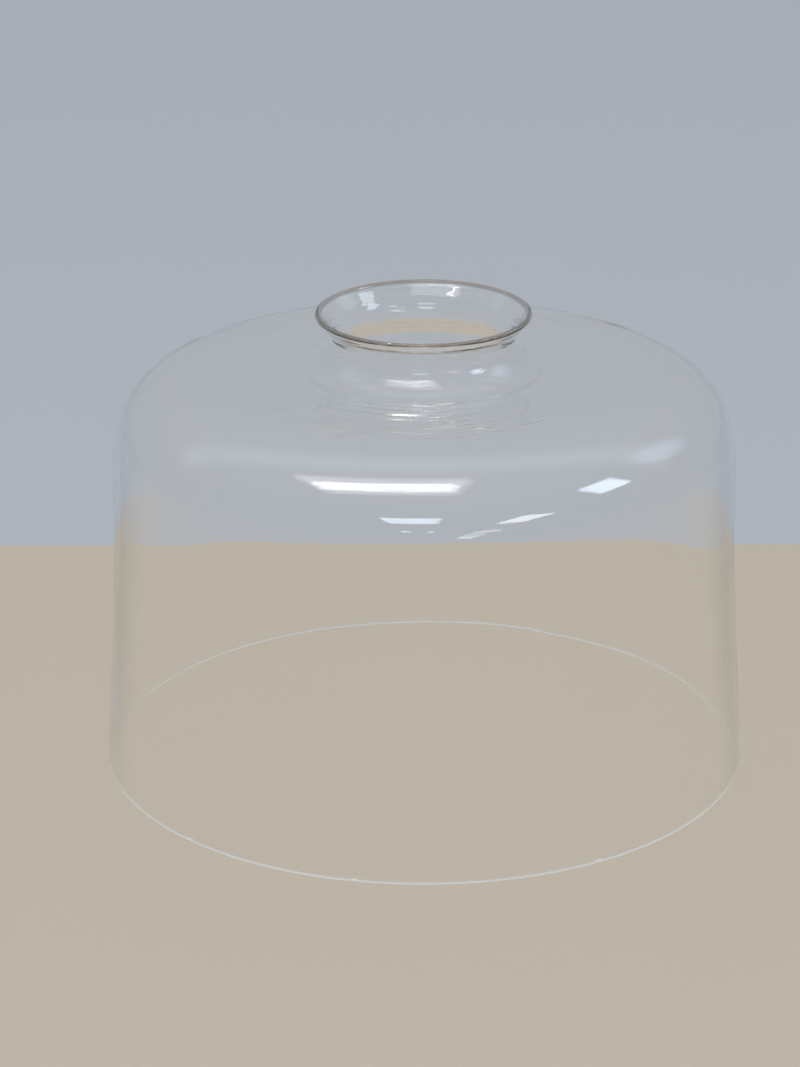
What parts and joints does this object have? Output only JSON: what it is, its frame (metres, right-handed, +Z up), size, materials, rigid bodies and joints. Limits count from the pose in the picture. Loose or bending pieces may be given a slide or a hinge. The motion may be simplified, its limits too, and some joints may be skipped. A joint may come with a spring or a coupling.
{
  "type": "open-neck glass bell",
  "caption": "Clear blown glass bell with a ground open base, nearly upright wall, flat crown and a short waisted neck with a flared, fire-polished lip.",
  "frame": {"origin": "centre of the circle that the ground base edge stands on, in the plane of that edge", "axes": "+Z up along the bell's axis of revolution, from the base edge to the neck; +X and +Y are any two square directions, because the bell is round"},
  "size_m": [0.3, 0.3, 0.215],
  "materials": {
    "clear_glass": "clear, polished by the blowing flame, with a ground base edge"
  },
  "bodies": {
    "root": {"glass_bell": "clear_glass"}
  },
  "joints": []
}
